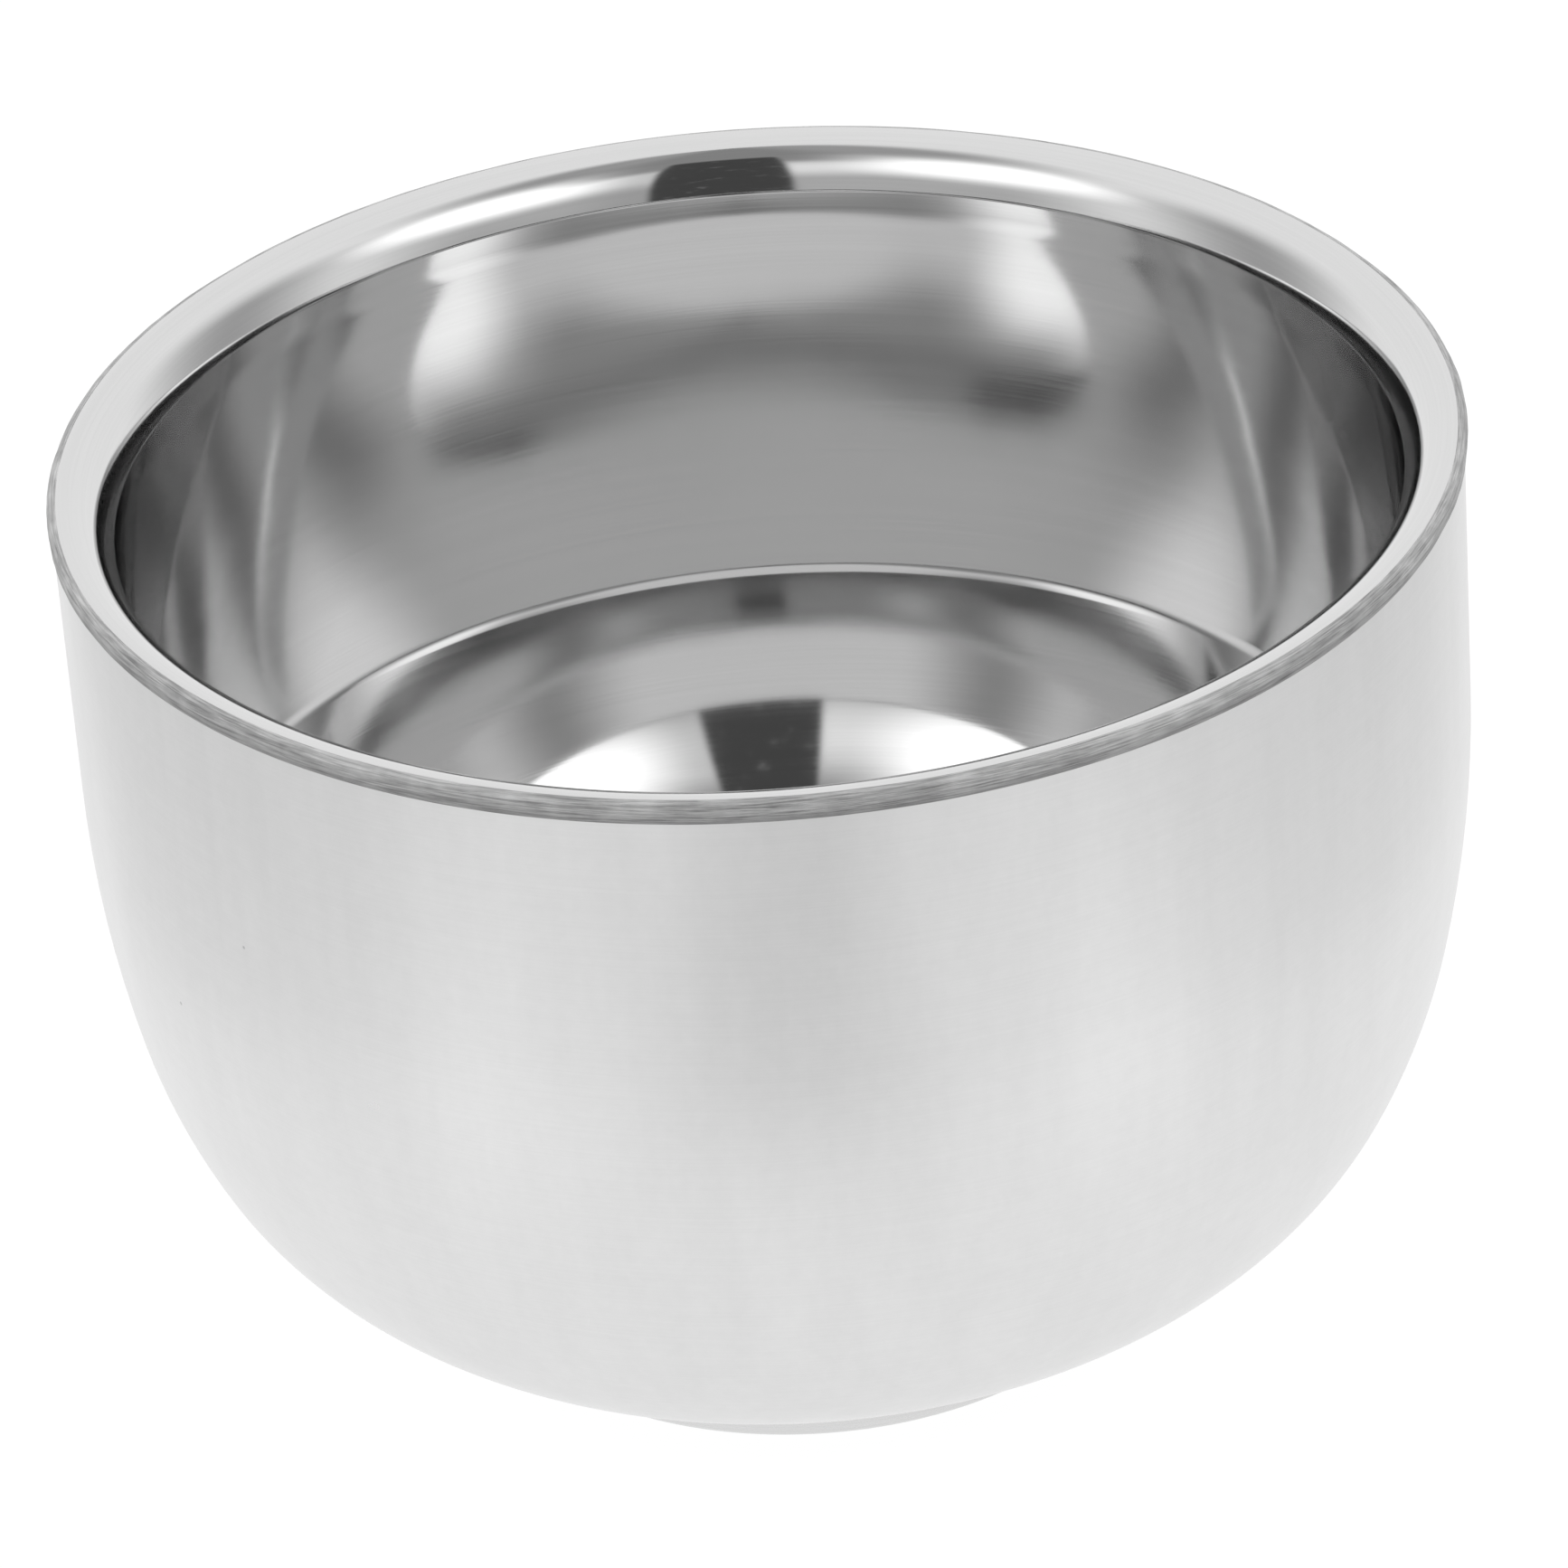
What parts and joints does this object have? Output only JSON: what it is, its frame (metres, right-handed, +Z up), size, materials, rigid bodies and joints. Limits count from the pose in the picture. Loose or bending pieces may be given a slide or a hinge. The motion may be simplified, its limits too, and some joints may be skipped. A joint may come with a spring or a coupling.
{
  "type": "shaving bowl",
  "caption": "Double-walled stainless steel shaving bowl: a mirror-polished inside, a satin outside, a ground welded rim and a pressed foot.",
  "frame": {"origin": "centre of the foot's resting face", "axes": "+Z up along the bowl's axis of symmetry; +X and +Y are across the bowl, which is the same all round"},
  "size_m": [0.1, 0.1, 0.068],
  "materials": {
    "polished_steel": "mirror polished, with a very faint round grain",
    "satin_steel": "fine satin, brushed round the body",
    "ground_weld": "ground weld seam with slanting scratches",
    "pressed_steel": "satin, with turned lines",
    "spot_weld": "spot weld mark, slightly heat tinted",
    "plug_steel": "plain bright steel"
  },
  "bodies": {
    "root": {"inner_shell": "polished_steel", "outer_shell": "satin_steel", "rim_weld": "ground_weld", "foot_ring": "pressed_steel", "foot_spot_welds": "spot_weld", "vent_plug": "plug_steel"}
  },
  "joints": []
}
